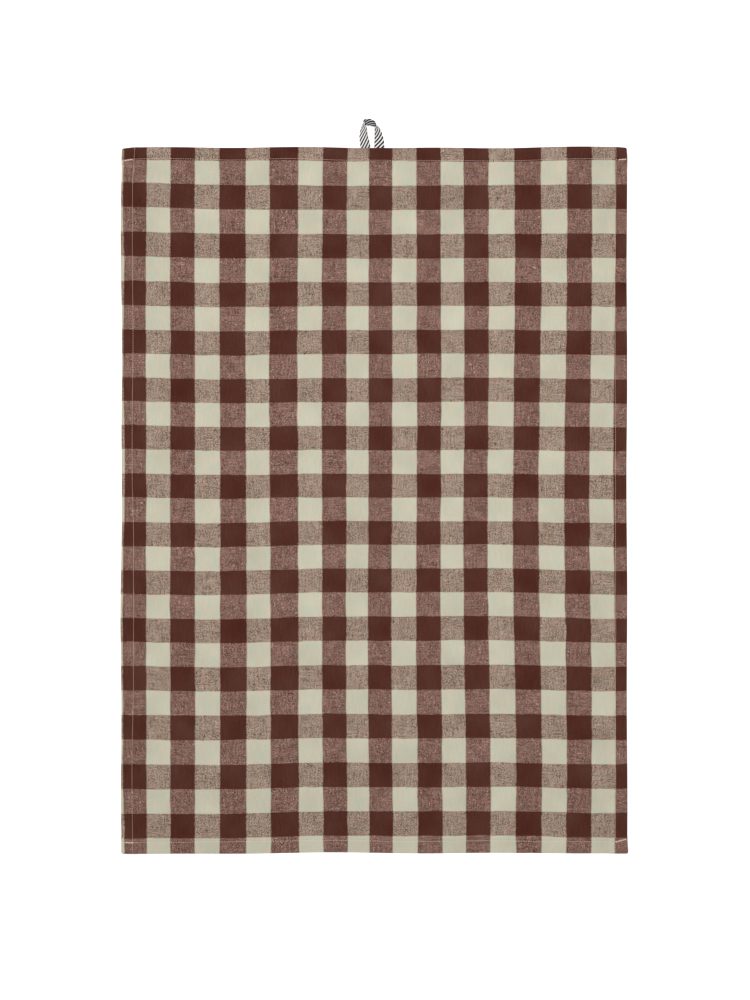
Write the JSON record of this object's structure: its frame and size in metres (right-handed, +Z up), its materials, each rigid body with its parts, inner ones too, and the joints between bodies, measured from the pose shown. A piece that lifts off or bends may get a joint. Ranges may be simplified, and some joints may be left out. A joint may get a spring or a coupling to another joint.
{
  "type": "checked tea towel with a hanging loop",
  "caption": "Flat rectangular tea towel of woven check cloth, hemmed all round, with a folded tape loop at the middle of one short edge for hanging it up.",
  "frame": {"origin": "middle of the underside of the box round the towel and its loop, on the surface that the towel lies on", "axes": "+Z up through the face of the cloth, +Y along the towel towards the hanging loop, +X across it to the right"},
  "size_m": [0.5012, 0.7285, 0.0103],
  "materials": {
    "gingham_cloth": "matt plain weave, brown and cream gingham",
    "striped_tape": "matt twill tape, black diagonal stripes on white"
  },
  "bodies": {
    "root": {"towel_cloth": "gingham_cloth", "hanging_loop": "striped_tape"}
  },
  "joints": []
}
